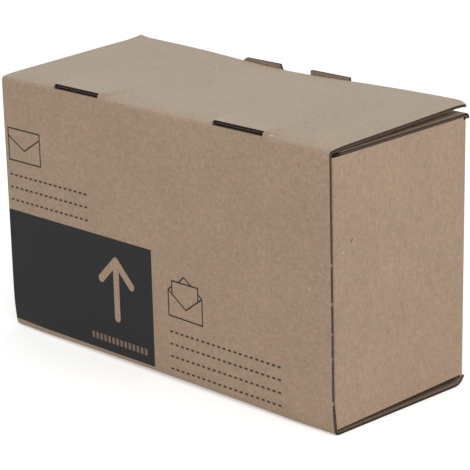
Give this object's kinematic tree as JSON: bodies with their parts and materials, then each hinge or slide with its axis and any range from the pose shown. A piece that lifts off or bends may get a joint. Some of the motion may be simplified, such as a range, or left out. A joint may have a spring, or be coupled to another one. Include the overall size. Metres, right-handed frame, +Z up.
{
  "type": "shipping box",
  "caption": "Small oblong shipping box folded from one kraft corrugated blank, with a hinged lid flap over an inner flap, standing tabs and printed front.",
  "frame": {"origin": "centre of the box's footprint, on the ground it stands on", "axes": "+Z up, +X along the long side to the right end, the printed front panel faces -Y"},
  "size_m": [0.232, 0.096, 0.1428],
  "materials": {
    "kraft_board": "matt brown kraft liner over fluting, raw cut edges"
  },
  "bodies": {
    "body": {"box_body": "kraft_board"},
    "lid": {"lid_flap": "kraft_board"}
  },
  "joints": [
    {"name": "lid_crease", "type": "hinge", "parent": "body", "child": "lid", "pos_m": [0, -0.04725, 0.13525], "axis": [1, 0, 0], "range_deg": [0, 180]}
  ]
}
